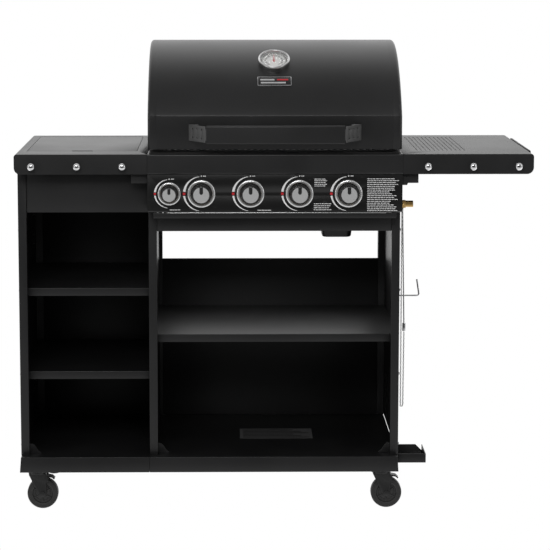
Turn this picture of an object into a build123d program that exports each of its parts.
"""Four-burner gas barbecue grill on an open cabinet with two side shelves and a side burner.

Units are millimetres. X runs to the cook's right, Y runs to the back and Z runs up. The origin is on the
floor under the middle of the cooking box. Depths are counted from the front face of the shelf rails.
"""
from build123d import *
import math
import os

# Driving dimensions
HALF_WIDTH = 620.5
BAY_HALF = 304.0
RAIL_FRONT = -230.0
TOTAL_HEIGHT = 1148.0
SHEET = 2.0
POST = 20.0
LEFT_PANEL = -618.3
WHEEL_RADIUS = 38.0


def depth(distance):
    """Y of a place that lies this far behind the front face of the rails."""
    return RAIL_FRONT + distance


# Heights
BASE_LOW, BASE_TOP = 106.5, 144.5
RAIL_LOW, RAIL_TOP = 843.0, 891.0
PANEL_LOW = 751.0
KNOB_HEIGHT = 796.0
MANIFOLD_HEIGHT = 766.0
LID_BOTTOM, LID_REAR_BOTTOM = 901.0, 935.0
FIREBOX_LOW, FIREBOX_TOP = 768.0, 893.0
GRATE_SEAT = 869.0
TENT_SEAT = 822.0
RACK_HEIGHT = 950.0
TRAY_LOW, TRAY_TOP = 740.6, 757.0
LEFT_SHELF_TOPS = (555.0, 348.5)
RIGHT_SHELF_TOP = 440.0
BACK_PANEL_TOP = 565.0

# Cabinet
POST_FRONT, POST_BACK = depth(60), depth(504)
INNER_BACK = POST_BACK - POST
SHELF_FRONT = depth(87)
SHELF_LIP = 19.5
DIVIDER_SHEET_TOP = 745.0
LOUVRE_LOW_GROUP = [171.0 + 25.2 * row for row in range(5)]
LOUVRE_HIGH_GROUP = [612.0 + 25.2 * row for row in range(4)]
LOUVRE_SPAN = (depth(112), depth(458))
LOUVRE_GAP = 2.8

# Firebox
FIREBOX_HALF, FIREBOX_WALL = 281.0, 3.0
FIREBOX_FRONT, FIREBOX_BACK = depth(82), depth(462)
BURNERS_X = (-175.5, -58.5, 58.5, 175.5)
BURNER_RADIUS = 13.0

# Knobs: X and size factor of the small side-burner knob, then the four main ones
KNOBS = [(-252.0, 0.83)] + [(x, 1.0) for x in BURNERS_X]
PANEL_FRONT = depth(5)
KNOB_REAR, KNOB_FACE = depth(-2), depth(-25)
KNOB_SKIRT, KNOB_TOP = 24.0, 19.0
BEZEL_OUTER, BEZEL_INNER = 33.25, 25.6
STEM_RADIUS, RUNNING = 4.0, 0.05

# Lid: a quarter-barrel over a flat front band
LID_FRONT, LID_REAR = depth(15), depth(478)
LID_RADIUS = 327.0
LID_AXIS_Y, LID_AXIS_Z = depth(300), TOTAL_HEIGHT - LID_RADIUS
LID_HALF, LID_SEAM = 303.2, 282.0
LID_HINGE_Y, LID_HINGE_Z = depth(448), 915.0
HINGE_PIN_RADIUS = 4.0
GAUGE_ELEVATION = 59.0
GAUGE_RADIUS = 38.0

# Side shelves
SHELF_DEPTH = 473.0
SHELF_INNER = BAY_HALF + 0.5
RIGHT_SHELF_END = 616.0
SHELF_SIDE_LOW = RAIL_LOW + 16
COVER_X, COVER_Y = (-595.3, -331.7), (depth(76), depth(439))
WELL_X, WELL_Y = (-596.5, -330.5), (depth(74.8), depth(443.5))
WELL_FLOOR = 851.0
COVER_PIN_Y, COVER_PIN_Z, COVER_PIN_RADIUS = depth(436.5), 885.0, 1.5
PEG_XS = (363.0, 470.5, 578.5)
PEG_HEIGHT = 862.5
SIDE_BURNER = (-463.5, depth(258))

# Casters: where each one swivels, how far the wheel trails and how wide it is
SWIVELS = [(-584.0, depth(111)), (266.0, depth(111)), (-584.0, depth(436)), (266.0, depth(436))]
TRAIL = 13.0
WHEEL_WIDTH = 26.0
AXLE_RADIUS = 4.0
KINGPIN_RADIUS = 6.0
BRAKE_PIN = (23.0, 79.5)

# Grease cup and match chain
CUP_CENTRE = (160.0, depth(260))
CUP_HALF, CUP_LOW = 44.0, 659.0
CHAIN_RADIUS = 2.0
CHAIN_ROUTE = [
    (309.0, depth(71), 752.0),
    (309.6, depth(71.6), 261.0),
    (316.6, depth(84), 261.0),
    (317.6, depth(83.2), 448.0),
]
HOLDER_TOP = (311.2, depth(77), 751.95)
HOLDER_FOOT = (317.6, depth(83.2), 448.05)


def span(x, y, z):
    """A box between three (low, high) pairs."""
    centre = [(low + high) / 2 for low, high in (x, y, z)]
    sizes = [high - low for low, high in (x, y, z)]
    return Pos(*centre) * Box(*sizes)


def bar(radius, start, end):
    """A round bar between two points."""
    run = Vector(*end) - Vector(*start)
    return extrude(Plane(origin=start, z_dir=run) * Circle(radius), run.length)


def prism_y(outline, low, high):
    """An outline of (x, z) points drawn out along Y."""
    face = make_face(Polyline(*outline, close=True))
    return extrude(Plane(origin=(0, high, 0), x_dir=(1, 0, 0), z_dir=(0, -1, 0)) * face, high - low)


def pan(x, y, z, wall=SHEET):
    """A sheet-metal pan that is open underneath."""
    inner = span((x[0] + wall, x[1] - wall), (y[0] + wall, y[1] - wall), (z[0] - 1, z[1] - wall))
    return span(x, y, z) - inner


def both_sides(piece):
    """A piece and its mirror image about the middle plane, as separate solids."""
    return [piece, mirror(piece, about=Plane.YZ)]


def group(*pieces):
    """Separate solids that share one node."""
    return Compound(children=[solid for piece in pieces for solid in piece.solids()])


# Base and cabinet


def base_tray(bottom_x, top_x, swivels):
    y = (depth(40), depth(507))
    outline = [(bottom_x[0], BASE_LOW), (bottom_x[1], BASE_LOW), (top_x[1], BASE_TOP), (top_x[0], BASE_TOP)]
    tray = prism_y(outline, *y)
    tray -= span(
        (top_x[0] + SHEET, top_x[1] - SHEET), (y[0] + SHEET, y[1] - SHEET), (BASE_LOW - 1, BASE_TOP - SHEET)
    )
    seat = 31.0
    for x, swivel_y in swivels:
        around = ((x - seat, x + seat), (swivel_y - seat, swivel_y + seat))
        inner = (x - seat + SHEET, x + seat - SHEET)
        tray += span(*around, (BASE_LOW, BASE_TOP - SHEET / 2))
        tray -= span(inner, (swivel_y - seat, swivel_y + seat), (BASE_LOW + SHEET, BASE_TOP - SHEET))
    return tray


def base_trays():
    left = base_tray((-HALF_WIDTH, -304.3), (-617.5, -304.3), [s for s in SWIVELS if s[0] < 0])
    right = base_tray((-303.9, 304.0), (-303.9, 301.5), [s for s in SWIVELS if s[0] > 0])
    return group(left, right)


def post(x, y, top=RAIL_LOW):
    outer = span(x, y, (BASE_TOP, top))
    return outer - span((x[0] + SHEET, x[1] - SHEET), (y[0] + SHEET, y[1] - SHEET), (BASE_TOP, top))


def foot_gusset(x, side):
    """The curved corner plate at the foot of a front post, on the side given by +1 or -1."""
    width, height, tip, steps = 27.0, 25.0, 4.0, 8
    crown = 0.2 * width
    outline = [(x, BASE_TOP), (x, BASE_TOP + height)]
    for step in range(steps + 1):
        share = step / steps
        drop = (height - tip) * (1 - math.cos(math.pi * share)) / 2
        outline.append((x + side * (crown + (width - crown) * share), BASE_TOP + height - drop))
    outline.append((x + side * width, BASE_TOP))
    y = (POST_FRONT + POST - SHEET, POST_FRONT + POST)
    return prism_y(outline, *y)


def upright_panel(post_x, sheet_x, sheet_top, louvres, gusset):
    """Two posts joined by one folded sheet, with ventilation slots."""
    panel = post(post_x, (POST_FRONT, POST_FRONT + POST)) + post(post_x, (INNER_BACK, POST_BACK))
    panel += span(sheet_x, (POST_FRONT + POST - SHEET, INNER_BACK + SHEET), (BASE_TOP, sheet_top))
    for height in louvres:
        through = (sheet_x[0] - 1, sheet_x[1] + 1)
        panel -= span(through, LOUVRE_SPAN, (height - LOUVRE_GAP / 2, height + LOUVRE_GAP / 2))
    return panel + foot_gusset(*gusset)


def side_panel_left():
    """The louvred left side. Its upper flanges reach up inside the side shelf."""
    x = LEFT_PANEL
    louvres = LOUVRE_LOW_GROUP + LOUVRE_HIGH_GROUP
    panel = upright_panel((x, x + POST), (x, x + SHEET), RAIL_LOW, louvres, (x + POST, 1))
    panel += span((x, x + SHEET), (POST_FRONT, depth(469)), (RAIL_LOW - 1, SHELF_SIDE_LOW + 16))
    return panel + span((x, x + POST), (POST_FRONT, POST_FRONT + SHEET), (RAIL_LOW - 1, SHELF_SIDE_LOW + 4))


def divider_panel():
    x = -BAY_HALF
    return upright_panel((x, x + POST), (x + 9, x + 9 + SHEET), DIVIDER_SHEET_TOP, [], (x + POST, 1))


def side_panel_right():
    x = BAY_HALF
    panel = upright_panel((x - POST, x), (x - SHEET, x), RAIL_LOW, LOUVRE_LOW_GROUP, (x - POST, -1))
    chain_tab = span((x, x + 9), (depth(66), depth(80)), (752.0, 755.0))
    chain_tab += span((x, x + SHEET), (depth(66), depth(80)), (752.0, 768.0))
    return panel + chain_tab


def back_panels():
    y = (INNER_BACK, INNER_BACK + SHEET)
    left = span((LEFT_PANEL + POST, -BAY_HALF), y, (BASE_TOP, RAIL_LOW))
    right = span((-BAY_HALF + POST, BAY_HALF - POST), y, (BASE_TOP, BACK_PANEL_TOP))
    return group(left, right)


def cabinet_shelf(x, top):
    y = (SHELF_FRONT, INNER_BACK - 0.5)
    shelf = span(x, y, (top - SHEET, top))
    shelf += span(x, (y[0], y[0] + SHEET), (top - SHELF_LIP, top))
    shelf += span(x, (y[0], y[0] + 10), (top - SHELF_LIP, top - SHELF_LIP + SHEET))
    shelf += span(x, (y[1] - SHEET, y[1]), (top - SHELF_LIP, top))
    return fillet(shelf.edges().filter_by(Axis.X).group_by(Axis.Y)[0].sort_by(Axis.Z)[-1:], 1.5)


def cabinet_shelves():
    left_x = (LEFT_PANEL + SHEET, -BAY_HALF + 9)
    right_x = (-BAY_HALF + 9 + SHEET, BAY_HALF - SHEET)
    shelves = [cabinet_shelf(left_x, top) for top in LEFT_SHELF_TOPS]
    return group(*shelves, cabinet_shelf(right_x, RIGHT_SHELF_TOP))


def channel(x, y, z):
    """A folded cross member, open at the back."""
    inner_z = (z[0] + SHEET, z[1] - SHEET)
    return span(x, y, z) - span(x, (y[0] + SHEET, y[1] + 1), inner_z)


def left_fascia():
    x = (LEFT_PANEL + POST + 0.4, -BAY_HALF - 0.4)
    return channel(x, (depth(63), depth(80)), (744.0, RAIL_LOW - 1))


def front_cross_rail():
    return channel((-BAY_HALF + POST, BAY_HALF - POST), (depth(62), depth(80)), (698.0, 738.0))


# Firebox, front rail and controls


def firebox():
    half, wall = FIREBOX_HALF, FIREBOX_WALL
    inner_y = (FIREBOX_FRONT + wall, FIREBOX_BACK - wall)
    body = span((-half, half), (FIREBOX_FRONT, FIREBOX_BACK), (FIREBOX_LOW, FIREBOX_TOP))
    body += span((-300, 300), (depth(18), depth(466)), (FIREBOX_TOP - SHEET, FIREBOX_TOP))
    body -= span((wall - half, half - wall), inner_y, (FIREBOX_LOW + wall, FIREBOX_TOP + 1))
    body -= span((-230, 230), (depth(225), depth(295)), (FIREBOX_LOW - 1, FIREBOX_LOW + wall + 1))
    for seat in (TENT_SEAT, GRATE_SEAT):
        for y in ((inner_y[0], inner_y[0] + 8), (inner_y[1] - 8, inner_y[1])):
            body += span((wall - half, half - wall), y, (seat - wall, seat))
    for x in BURNERS_X:
        body -= bar(BURNER_RADIUS + 0.6, (x, FIREBOX_FRONT - 1, KNOB_HEIGHT), (x, inner_y[0] + 1, KNOB_HEIGHT))
    for side in (-1, 1):
        ear_x = sorted((side * 292.0, side * 296.0))
        body += span(ear_x, (LID_HINGE_Y - 12, LID_HINGE_Y + 12), (FIREBOX_TOP - SHEET, LID_HINGE_Z + 10))
        runner_x = sorted((side * 266.0, side * 268.0))
        lip_x = sorted((side * 255.0, side * 268.0))
        body += span(runner_x, (FIREBOX_FRONT, FIREBOX_BACK), (738.0, FIREBOX_LOW))
        body += span(lip_x, (FIREBOX_FRONT, FIREBOX_BACK), (738.0, 740.0))
    for side in (-1, 1):
        body -= bar(HINGE_PIN_RADIUS, (side * 290, LID_HINGE_Y, LID_HINGE_Z), (side * 298, LID_HINGE_Y, LID_HINGE_Z))
    return body


def front_rail():
    rail = span((-BAY_HALF, BAY_HALF), (RAIL_FRONT, FIREBOX_FRONT), (RAIL_LOW, RAIL_TOP))
    rail = fillet(rail.edges().filter_by(Axis.X).group_by(Axis.Y)[0], 4)
    inner_x = (-BAY_HALF + SHEET, BAY_HALF - SHEET)
    rail -= span(inner_x, (RAIL_FRONT + SHEET, FIREBOX_FRONT + 1), (RAIL_LOW - 1, RAIL_TOP - SHEET))
    return rail


def control_panel():
    y = (PANEL_FRONT, depth(58))
    panel = span((-BAY_HALF, BAY_HALF), y, (PANEL_LOW, RAIL_LOW))
    panel = fillet(panel.edges().filter_by(Axis.X).group_by(Axis.Y)[0].sort_by(Axis.Z)[:1], 4)
    inner_x = (-BAY_HALF + SHEET, BAY_HALF - SHEET)
    panel -= span(inner_x, (y[0] + SHEET, y[1] + 1), (PANEL_LOW + SHEET, RAIL_LOW + 1))
    for x, _ in KNOBS:
        panel -= bar(6.0, (x, y[0] - 1, KNOB_HEIGHT), (x, y[0] + SHEET + 1, KNOB_HEIGHT))
    return panel - bar(9.0, (BAY_HALF - 4, depth(46), MANIFOLD_HEIGHT), (BAY_HALF + 1, depth(46), MANIFOLD_HEIGHT))


def knob_bezels():
    rings = []
    for x, factor in KNOBS:
        ring = Cylinder(BEZEL_OUTER * factor, 3) - Cylinder(BEZEL_INNER * factor, 3)
        ring = fillet(ring.edges().group_by(Axis.Z)[-1].sort_by(SortBy.RADIUS)[-1:], 1.2)
        rings.append(Pos(x, PANEL_FRONT - 1.5, KNOB_HEIGHT) * Rot(90, 0, 0) * ring)
    return group(*rings)


def valve_stem(x):
    """The valve's spindle: it turns in the valve and the knob slides on it."""
    return bar(STEM_RADIUS, (x, depth(-11), KNOB_HEIGHT), (x, depth(50), KNOB_HEIGHT))


def knob(x, factor):
    """A tapered knob with a hub bore, hollow behind, with its pointer groove at the top."""
    skirt, top = KNOB_SKIRT * factor, KNOB_TOP * factor
    length = KNOB_REAR - KNOB_FACE
    body = Cone(skirt, top, length)
    body = fillet(body.edges().group_by(Axis.Z)[-1], 1.5)
    rise = length / 2
    body -= Pos(0, 0, -4) * Cone(skirt - 3, top - 2.4, length)
    body += Pos(0, 0, -rise + (length - 4) / 2) * Cylinder(8.5, length - 4)
    body -= Pos(0, 0, -rise + 7.5) * Cylinder(STEM_RADIUS + RUNNING, 15)
    body -= Pos(0, top * 0.62, rise) * Box(3.2 * factor, top * 0.6, 1.6)
    return Pos(x, KNOB_FACE + rise, KNOB_HEIGHT) * Rot(90, 0, 0) * body


def gas_manifold():
    y = depth(46)
    pipe = bar(8.0, (-272, y, MANIFOLD_HEIGHT), (306, y, MANIFOLD_HEIGHT))
    pipe -= bar(6.0, (-268, y, MANIFOLD_HEIGHT), (306, y, MANIFOLD_HEIGHT))
    valves = []
    for x, _ in KNOBS:
        valve = span((x - 11, x + 11), (depth(35), depth(58)), (MANIFOLD_HEIGHT + 8.05, KNOB_HEIGHT + 12))
        valve += bar(4.5, (x, depth(58), KNOB_HEIGHT), (x, depth(72), KNOB_HEIGHT))
        valve -= bar(STEM_RADIUS + RUNNING, (x, depth(34), KNOB_HEIGHT), (x, depth(52), KNOB_HEIGHT))
        valves.append(valve)
    return group(pipe, *valves)


def gas_inlet():
    """Brass flare fitting on the manifold's end, with a hexagon for the spanner."""
    y, z = depth(46), MANIFOLD_HEIGHT
    hexagon = extrude(Plane(origin=(306, y, z), x_dir=(0, 1, 0), z_dir=(1, 0, 0)) * RegularPolygon(10.5, 6), 9)
    fitting = hexagon + bar(7.94, (315, y, z), (333, y, z))
    return fitting - bar(3.5, (305, y, z), (334, y, z))


def burners():
    tubes = []
    for x in BURNERS_X:
        ends = ((x, depth(66), KNOB_HEIGHT), (x, FIREBOX_BACK - FIREBOX_WALL, KNOB_HEIGHT))
        tubes.append(bar(BURNER_RADIUS, *ends) - bar(BURNER_RADIUS - 1.5, ends[0], (x, depth(445), KNOB_HEIGHT)))
    return group(*tubes)


def heat_tents():
    half, rise, wall = 36.0, 20.0, 2.0
    tents = []
    for x in BURNERS_X:
        outline = [(x - half, TENT_SEAT), (x, TENT_SEAT + rise), (x + half, TENT_SEAT)]
        outline += [(x + half - 2 * wall, TENT_SEAT), (x, TENT_SEAT + rise - wall), (x - half + 2 * wall, TENT_SEAT)]
        tents.append(prism_y(outline, depth(86), depth(458)))
    return group(*tents)


def cooking_grates():
    y = (depth(86), depth(458))
    low, high = GRATE_SEAT, GRATE_SEAT + 12
    grates = []
    for x in ((-277.5, -0.6), (0.6, 277.5)):
        grate = span(x, y, (low, high)) - span((x[0] + 8, x[1] - 8), (y[0] + 8, y[1] - 8), (low - 1, high + 1))
        bars = 16
        pitch = (x[1] - x[0] - 8) / (bars + 1)
        for number in range(1, bars + 1):
            middle = x[0] + 4 + pitch * number
            grate += span((middle - 3, middle + 3), (y[0] + 4, y[1] - 4), (low + 2, high))
        grates.append(grate)
    return group(*grates)


def warming_rack():
    """Wire rods along the box, laid on three cross wires, with four legs on the firebox rim."""
    wire, cross, leg = 2.2, 2.8, 3.4
    half, front, rear = 288.0, depth(306), depth(416)
    rods = 8
    pieces = [
        bar(cross, (x, front - 6, RACK_HEIGHT - 3), (x, rear + 6, RACK_HEIGHT - 3)) for x in (-half, 0.0, half)
    ]
    for number in range(rods):
        y = front + (rear - front) * number / (rods - 1)
        pieces.append(bar(wire, (-half - 6, y, RACK_HEIGHT), (half + 6, y, RACK_HEIGHT)))
    for x in (-half, half):
        for y in (front + 8, rear - 8):
            pieces.append(bar(leg, (x, y, FIREBOX_TOP), (x, y, RACK_HEIGHT - 2)))
    return pieces[0].fuse(*pieces[1:])


# Grease tray


def grease_tray():
    x, y = (-262.0, 262.0), (depth(92), depth(478))
    tray = span(x, y, (TRAY_LOW, TRAY_TOP))
    tray -= span((x[0] + SHEET, x[1] - SHEET), (y[0] + SHEET, y[1] - SHEET), (TRAY_LOW + SHEET, TRAY_TOP + 1))
    tray += span((-60, 60), (y[1], y[1] + 22), (TRAY_LOW, TRAY_LOW + SHEET))
    tray += span((-60, 60), (y[1] + 20, y[1] + 22), (TRAY_LOW, TRAY_TOP))
    hole = bar(15.0, (*CUP_CENTRE, TRAY_LOW - 1), (*CUP_CENTRE, TRAY_LOW + 3))
    rim = CUP_HALF + 2.5
    for side in (-1, 1):
        web = sorted((CUP_CENTRE[0] + side * rim, CUP_CENTRE[0] + side * (rim + SHEET)))
        lip = sorted((CUP_CENTRE[0] + side * (CUP_HALF + 0.4), CUP_CENTRE[0] + side * (rim + SHEET)))
        strip = (CUP_CENTRE[1] - 12, CUP_CENTRE[1] + 12)
        tray += span(web, strip, (726.0, TRAY_LOW + 1)) + span(lip, strip, (726.0, 728.0))
    return tray - hole


def cup_body(low, high, inset, corner):
    """A tapered square tub with rounded corners and a rounded foot."""
    foot = Plane.XY.offset(low) * RectangleRounded(72 - 2 * inset, 72 - 2 * inset, corner)
    wide = 2 * CUP_HALF - 2 * inset
    mouth = Plane.XY.offset(high) * RectangleRounded(wide, wide, corner + 2)
    tub = loft([foot, mouth])
    return fillet(tub.edges().group_by(Axis.Z)[0], 5)


def grease_cup():
    rim = 730.0
    cup = cup_body(CUP_LOW, rim, 0.0, 14.0)
    cup += Pos(0, 0, rim - 2) * extrude(RectangleRounded(2 * CUP_HALF + 4.6, 2 * CUP_HALF + 4.6, 18.0), 2)
    cup -= cup_body(CUP_LOW + 1.5, rim + 1, 1.5, 12.5)
    return Pos(*CUP_CENTRE, 0) * cup


# Lid


def lid_profile(inset=0.0):
    """Side view of the lid. An inset profile reaches below the lid, so that it cuts it open underneath."""
    radius, front, rear = LID_RADIUS - inset, LID_FRONT + inset, LID_REAR - inset
    front_top = LID_AXIS_Z + math.sqrt(radius**2 - (LID_AXIS_Y - front) ** 2)
    rear_top = LID_AXIS_Z + math.sqrt(radius**2 - (rear - LID_AXIS_Y) ** 2)
    drop = 10.0 if inset else 0.0
    low = LID_BOTTOM - drop
    rear_low = low if inset else LID_REAR_BOTTOM
    heel = rear if inset else LID_HINGE_Y + 9
    arc = ThreePointArc((front, front_top), (LID_AXIS_Y, LID_AXIS_Z + radius), (rear, rear_top))
    edges = [Line((front, low), (front, front_top)), arc, Line((rear, rear_top), (rear, rear_low))]
    if not inset:
        edges.append(Line((rear, rear_low), (heel, low)))
    edges.append(Line((heel, low), (front, low)))
    return make_face(edges)


def gauge_plane(rise):
    """The plane of the gauge on the lid's arc, raised off the skin by a distance."""
    angle = math.radians(GAUGE_ELEVATION)
    reach = LID_RADIUS + rise
    y, z = LID_AXIS_Y - reach * math.cos(angle), LID_AXIS_Z + reach * math.sin(angle)
    return Plane(origin=(0, y, z), x_dir=(1, 0, 0), z_dir=(0, -math.cos(angle), math.sin(angle)))


def lid_shell():
    shell = extrude(Plane.YZ.offset(-LID_SEAM) * (lid_profile() - lid_profile(SHEET)), 2 * LID_SEAM)
    return shell - extrude(gauge_plane(5) * Circle(5.0), -12)


def lid_end():
    outer = extrude(Plane.YZ.offset(LID_SEAM) * lid_profile(), LID_HALF - LID_SEAM)
    inner = extrude(Plane.YZ.offset(LID_SEAM) * lid_profile(SHEET), LID_HALF - LID_SEAM - SHEET)
    rim = [edge for edge in outer.faces().sort_by(Axis.X)[-1].edges() if edge.center().Z > LID_REAR_BOTTOM - 5]
    outer = fillet(rim, 8)
    rim = [edge for edge in inner.faces().sort_by(Axis.X)[-1].edges() if edge.center().Z > LID_REAR_BOTTOM - 5]
    inner = fillet(rim, 6)
    pin_ends = ((LID_SEAM, LID_HINGE_Y, LID_HINGE_Z), (LID_HALF + 1, LID_HINGE_Y, LID_HINGE_Z))
    return outer - inner - bar(HINGE_PIN_RADIUS + RUNNING, *pin_ends)


def lid_ends():
    return group(*both_sides(lid_end()))


def handle_bar():
    front, low, high, roll = depth(-47), 919.0, 963.0, 4.0
    band = span((-163, 163), (front, front + 3), (low + roll, high - roll))
    for height in (low + roll, high - roll):
        band += bar(roll, (-163, front + roll, height), (163, front + roll, height))
    return band


def handle_bracket():
    """A bent strap from behind the bar to the lid, with two rows of three air holes."""
    z = (923.0, 961.0)
    wall, height, middle = 2.5, z[1] - z[0], (z[0] + z[1]) / 2
    start, knee, foot = (166.0, depth(-42.75)), (204.0, depth(11.5)), depth(15)
    run = math.dist(start, knee)
    angle = math.degrees(math.atan2(knee[1] - start[1], knee[0] - start[0]))
    slope = Pos(run / 2, 0, 0) * Box(run, wall, height)
    for column in range(3):
        for row in (-1, 1):
            slope -= Pos(run * (0.2 + 0.29 * column), 0, row * 10.5) * Rot(90, 0, 0) * Cylinder(2.8, 2 * wall)
    bracket = Pos(start[0], start[1], middle) * Rot(0, 0, angle) * slope
    tab_z = (z[0] + 5, z[1] - 7)
    bracket += span((146.0, start[0]), (start[1] - wall / 2, start[1] + wall / 2), tab_z)
    bracket += bar(wall / 2, (start[0], start[1], z[0]), (start[0], start[1], z[1]))
    bracket += span((182.0, knee[0]), (foot - wall, foot), z)
    return bracket + span((knee[0] - wall / 2, knee[0] + wall / 2), (knee[1] - 0.5, foot), z)


def handle_brackets():
    return group(*both_sides(handle_bracket()))


def thermometer():
    """Gauge case on the lid with an open dial face, a needle pin and a probe through the lid."""
    case = extrude(gauge_plane(-3) * Circle(GAUGE_RADIUS), 15)
    case = fillet(case.edges().filter_by(GeomType.CIRCLE).group_by(Axis.Z)[-1], 2)
    case -= extrude(Plane.YZ.offset(-60) * Pos(LID_AXIS_Y, LID_AXIS_Z) * Circle(LID_RADIUS), 120)
    case -= extrude(gauge_plane(5) * Circle(GAUGE_RADIUS - 4), 10)
    case += extrude(gauge_plane(4.5) * Circle(1.0), 4.5)
    return case + extrude(gauge_plane(1) * Circle(4.5), -62)


def needle():
    blade = gauge_plane(6) * (Circle(3) + Pos(0, 10) * Trapezoid(3.2, 32, 87.5))
    return extrude(blade, 0.8) - extrude(gauge_plane(5.5) * Circle(1.0 + RUNNING), 3)


def hinge_pins():
    """Lid pins, and the pair of small pins that the side-burner cover turns on."""
    inner, outer, head = 289.0, LID_HALF + 0.5, 306.0
    pin = bar(HINGE_PIN_RADIUS, (inner, LID_HINGE_Y, LID_HINGE_Z), (head, LID_HINGE_Y, LID_HINGE_Z))
    pin += bar(7.0, (outer, LID_HINGE_Y, LID_HINGE_Z), (head, LID_HINGE_Y, LID_HINGE_Z))
    pins = both_sides(pin)
    for wall, tip in ((WELL_X[0], WELL_X[0] + 6), (WELL_X[1], WELL_X[1] - 6)):
        pins.append(bar(COVER_PIN_RADIUS, (wall, COVER_PIN_Y, COVER_PIN_Z), (tip, COVER_PIN_Y, COVER_PIN_Z)))
    return group(*pins)


# Side shelves


def shelf_pan(x, outer_side):
    """A shelf with a rounded outer end, open underneath. The outer side is -1 or +1."""
    y = (RAIL_FRONT, RAIL_FRONT + SHELF_DEPTH)
    body = span(x, y, (RAIL_LOW, RAIL_TOP))
    end = body.edges().filter_by(Axis.Y).group_by(Axis.X)[-1 if outer_side > 0 else 0].sort_by(Axis.Z)
    body = fillet(end[-1:], 7)
    body = fillet(body.edges().filter_by(Axis.Y).sort_by(Axis.Z)[:2].sort_by(Axis.X)[-1 if outer_side > 0 else 0], 16)
    hollow = offset(body, -SHEET)
    low = Pos(0, 0, -SHEET) * hollow
    return body, hollow + low


def side_shelf_left():
    """The side-burner shelf: its end wall is short, so that the cabinet's side reaches up inside it."""
    body, _ = shelf_pan((-HALF_WIDTH, -SHELF_INNER), -1)
    back = RAIL_FRONT + SHELF_DEPTH
    inner_x = (-HALF_WIDTH + SHEET, -SHELF_INNER - SHEET)
    shelf = body - span(inner_x, (RAIL_FRONT + SHEET, back - SHEET), (RAIL_LOW - 1, RAIL_TOP - SHEET))
    shelf -= span((-HALF_WIDTH - 1, inner_x[0] + 1), (RAIL_FRONT + SHEET, back + 1), (RAIL_LOW - 1, SHELF_SIDE_LOW))
    outer_x, outer_y = (WELL_X[0] - SHEET, WELL_X[1] + SHEET), (WELL_Y[0] - SHEET, WELL_Y[1] + SHEET)
    shelf += span(outer_x, outer_y, (WELL_FLOOR - SHEET, RAIL_TOP))
    return shelf - span(WELL_X, WELL_Y, (WELL_FLOOR, RAIL_TOP + 1))


def side_shelf_right():
    body, hollow = shelf_pan((SHELF_INNER, RIGHT_SHELF_END), 1)
    shelf = body - hollow
    grooves, pitch, first = 12, 10.5, 345.0
    for number in range(grooves):
        x = first + pitch * number
        shelf -= span((x - 1.6, x + 1.6), (depth(83), depth(413)), (RAIL_TOP - 1.0, RAIL_TOP + 1))
    return shelf


def end_grip():
    grip = span((RIGHT_SHELF_END, 622.5), (depth(95), depth(400)), (866.0, 890.0))
    return fillet(grip.edges().filter_by(Axis.Y).group_by(Axis.X)[-1], 3)


def side_burner_cover():
    cover = pan(COVER_X, COVER_Y, (879.0, RAIL_TOP))
    middle = sum(COVER_X) / 2
    cover -= span((middle - 25, middle + 25), (COVER_Y[0] - 1, COVER_Y[0] + 13), (870.0, RAIL_TOP + 1))
    ends = ((COVER_X[0] - 1, COVER_PIN_Y, COVER_PIN_Z), (COVER_X[1] + 1, COVER_PIN_Y, COVER_PIN_Z))
    return cover - bar(COVER_PIN_RADIUS + RUNNING, *ends)


def side_burner():
    """Ring burner with a row of flame slots, and its mixing tube under the well."""
    x, y = SIDE_BURNER
    low = WELL_FLOOR
    ring = bar(50.0, (x, y, low), (x, y, low + 14)) - bar(30.0, (x, y, low + 6), (x, y, low + 30))
    cap = bar(46.0, (x, y, low + 14), (x, y, low + 20)) - bar(32.0, (x, y, low + 13), (x, y, low + 21))
    slots, deep = 18, 6.0
    for number in range(slots):
        cutter = Box(8, 3, deep)
        turn = Rot(0, 0, 360 * number / slots)
        cap -= Pos(x, y, low + 17) * turn * Pos(46, 0, 0) * cutter
    return ring + cap


def pan_support():
    x, y = SIDE_BURNER
    low, high = WELL_FLOOR, 885.5
    grid = bar(104.0, (x, y, high - 12), (x, y, high - 6)) - bar(98.0, (x, y, high - 13), (x, y, high - 5))
    for number in range(4):
        turn = Pos(x, y, 0) * Rot(0, 0, 45 + 90 * number)
        grid += turn * span((22.0, 106.0), (-2.5, 2.5), (high - 10, high))
        grid += turn * span((99.0, 106.0), (-3.5, 3.5), (low, high - 6))
    return grid


def tool_pegs():
    pegs = []
    for side in (-1, 1):
        for x in PEG_XS:
            stem = bar(4.5, (side * x, depth(-14), PEG_HEIGHT), (side * x, RAIL_FRONT, PEG_HEIGHT))
            head = Pos(side * x, depth(-17), PEG_HEIGHT) * Rot(90, 0, 0) * Cylinder(9, 6)
            pegs.append(stem + fillet(head.edges().filter_by(GeomType.CIRCLE), 2))
    return group(*pegs)


def shelf_brackets():
    outline = [(304.2, 815.0), (316.0, 815.0), (318.0, 820.0), (343.0, 820.0), (343.0, RAIL_LOW), (304.2, RAIL_LOW)]
    inner = [(306.2, 817.0), (315.0, 817.0), (317.0, 822.0), (341.0, 822.0), (341.0, 850.0), (306.2, 850.0)]
    y = (depth(16), depth(450))
    bracket = prism_y(outline, *y) - prism_y(inner, y[0] + SHEET, y[1] - SHEET)
    left = span((-343.0, -BAY_HALF - 0.4), (depth(16), depth(58)), (820.0, RAIL_LOW))
    left -= span((-341.0, -306.4), (depth(18), depth(56)), (822.0, 850.0))
    return group(bracket, left)


# Bottle holder, match holder and chain


def tank_bracket():
    x, y, z = (BAY_HALF, 375.0), (depth(85), depth(180)), (117.0, 140.0)
    tray = span(x, y, z) - span((x[0] - 1, x[1] - SHEET), (y[0] + SHEET, y[1] - SHEET), (z[0] + SHEET, z[1] + 1))
    tray -= prism_y([(x[1] - 18, z[1] + 1), (x[1] + 1, z[1] - 18), (x[1] + 1, z[1] + 1)], y[1] - SHEET, y[1] + 1)
    return tray


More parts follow.
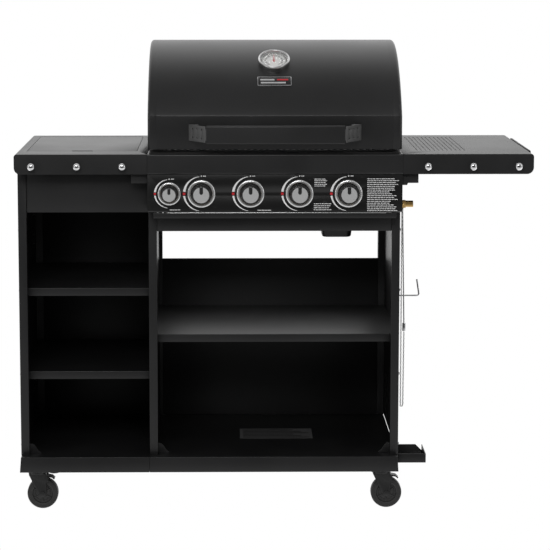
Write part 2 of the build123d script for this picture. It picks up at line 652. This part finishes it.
def tank_hook():
    y = depth(115)
    route = [(BAY_HALF, y, 530.0), (357.0, y, 530.0), (351.0, y, 571.0)]
    wire = sweep(Plane(origin=route[0], z_dir=(1, 0, 0)) * Circle(2.0), FilletPolyline(*route, radius=5))
    return wire + bar(9.0, (BAY_HALF, y, 530.0), (BAY_HALF + 2, y, 530.0))


def match_holder():
    rod = bar(1.6, HOLDER_TOP, (HOLDER_FOOT[0], HOLDER_FOOT[1], HOLDER_FOOT[2] + 12))
    foot = (HOLDER_FOOT[0], HOLDER_FOOT[1], HOLDER_FOOT[2] + 20)
    return rod + bar(4.0, HOLDER_FOOT, foot)


def match_chain():
    points = [Vector(*point) for point in CHAIN_ROUTE]
    radii = []
    for before, corner, after in zip(points, points[1:], points[2:]):
        arrive, leave = corner - before, after - corner
        turn = math.radians(arrive.get_angle(leave))
        radii.append(0.45 * min(arrive.length, leave.length) / math.tan(turn / 2))
    path = FilletPolyline(*points, radius=radii)
    tube = sweep(Plane(origin=points[0], z_dir=points[1] - points[0]) * Circle(CHAIN_RADIUS), path)
    print("chain radii", [round(r, 1) for r in radii], "length", round(path.length, 1))
    print("chain volume", round(tube.volume), "section times length", round(math.pi * CHAIN_RADIUS**2 * path.length))
    return tube


# Casters


def caster_plates():
    casters = []
    for x, y in SWIVELS:
        plate = span((x - 30, x + 30), (y - 30, y + 30), (BASE_LOW - 3, BASE_LOW))
        plate = fillet(plate.edges().filter_by(Axis.Z), 6)
        for side_x in (-22, 22):
            for side_y in (-22, 22):
                plate -= bar(3.3, (x + side_x, y + side_y, BASE_LOW - 4), (x + side_x, y + side_y, BASE_LOW + 1))
        plate += bar(20.0, (x, y, 97.0), (x, y, BASE_LOW - 3))
        plate += bar(KINGPIN_RADIUS, (x, y, 81.5), (x, y, 97.0)) + bar(10.0, (x, y, 81.5), (x, y, 84.5))
        casters.append(plate)
    return group(*casters)


def caster_fork(x, y, brake):
    """Swivelling fork with two legs, the axle, and a pin for the brake lever where there is one."""
    wheel_x = x + TRAIL
    leg = make_hull(
        (Pos(TRAIL, WHEEL_RADIUS) * Circle(9)).edges()
        + make_face(Polyline((-20, 86), (22, 86), (22, 90), (-20, 90), close=True)).edges()
    )
    if brake:
        leg += make_face(Polyline((8, 62), (26, 68), (29, 78), (22, 88), close=True))
    plane = Plane(origin=(x, y, 0), x_dir=(1, 0, 0), z_dir=(0, -1, 0))
    gap = WHEEL_WIDTH / 2 + 1.5
    legs = extrude(plane.offset(gap) * leg, 2.5) + extrude(plane.offset(-gap) * leg, -2.5)
    crown = span((x - 20, x + 22), (y - gap - 2.5, y + gap + 2.5), (85.0, 90.0))
    fork = legs + crown + bar(23.0, (x, y, 88.0), (x, y, 96.5))
    fork -= bar(KINGPIN_RADIUS + RUNNING, (x, y, 80.0), (x, y, 98.0))
    ends = ((wheel_x, y - gap - 5, WHEEL_RADIUS), (wheel_x, y + gap + 5, WHEEL_RADIUS))
    fork += bar(AXLE_RADIUS, *ends)
    for side in (-1, 1):
        nut = (gap + 2.5, gap + 5.5)
        fork += bar(7.0, (wheel_x, y + side * nut[0], WHEEL_RADIUS), (wheel_x, y + side * nut[1], WHEEL_RADIUS))
    if brake:
        pin_x, pin_z = x + BRAKE_PIN[0], BRAKE_PIN[1]
        fork += bar(2.0, (pin_x, y - gap, pin_z), (pin_x, y + gap, pin_z))
    return fork


def caster_wheel(x, y):
    radius, width = WHEEL_RADIUS, WHEEL_WIDTH
    wheel = fillet(Cylinder(radius, width).edges(), 5)
    recess = Cylinder(27, 5) - Cylinder(11, 5)
    wheel -= Pos(0, 0, width / 2) * recess
    wheel -= Pos(0, 0, -width / 2) * recess
    wheel -= Cylinder(AXLE_RADIUS + RUNNING, width + 2)
    return Pos(x + TRAIL, y, radius) * Rot(90, 0, 0) * wheel


def caster_brake(x, y):
    """Foot lever on the fork: pressing its tip down locks the wheel."""
    pin_x, pin_z = x + BRAKE_PIN[0], BRAKE_PIN[1]
    tip = [(pin_x + 1, pin_z + 3.6), (pin_x + 14, pin_z + 1), (pin_x + 20, pin_z - 4.5)]
    outline = tip + [(pin_x + 18, pin_z - 6.5), (pin_x + 13, pin_z - 2), (pin_x + 1, pin_z)]
    lever = prism_y(outline, y - 11, y + 11) + bar(4.0, (pin_x, y - 13, pin_z), (pin_x, y + 13, pin_z))
    return lever - bar(2.0 + RUNNING, (pin_x, y - 14, pin_z), (pin_x, y + 14, pin_z))


PARTS = {
    maker.__name__: maker
    for maker in (
        base_trays, side_panel_left, divider_panel, side_panel_right, back_panels, cabinet_shelves,
        left_fascia, front_cross_rail, firebox, front_rail, control_panel, knob_bezels, gas_manifold,
        gas_inlet, burners, heat_tents, cooking_grates, warming_rack, grease_tray, grease_cup,
        lid_shell, lid_ends, handle_bar, handle_brackets, thermometer, needle, hinge_pins,
        side_shelf_left, side_shelf_right, end_grip, side_burner_cover, side_burner, pan_support,
        tool_pegs, shelf_brackets, tank_bracket, tank_hook, match_holder, match_chain, caster_plates,
    )
}


def main():
    os.makedirs("parts", exist_ok=True)
    shapes = {name: maker() for name, maker in PARTS.items()}
    for number, (x, factor) in enumerate(KNOBS, 1):
        shapes[f"valve_stem_{number}"] = valve_stem(x)
        shapes[f"knob_{number}"] = knob(x, factor)
    for number, (x, y) in enumerate(SWIVELS, 1):
        has_brake = y < 0
        shapes[f"caster_fork_{number}"] = caster_fork(x, y, has_brake)
        shapes[f"caster_wheel_{number}"] = caster_wheel(x, y)
        if has_brake:
            shapes[f"caster_brake_{number}"] = caster_brake(x, y)
    for name, shape in shapes.items():
        export_step(shape, f"parts/{name}.step")


main()
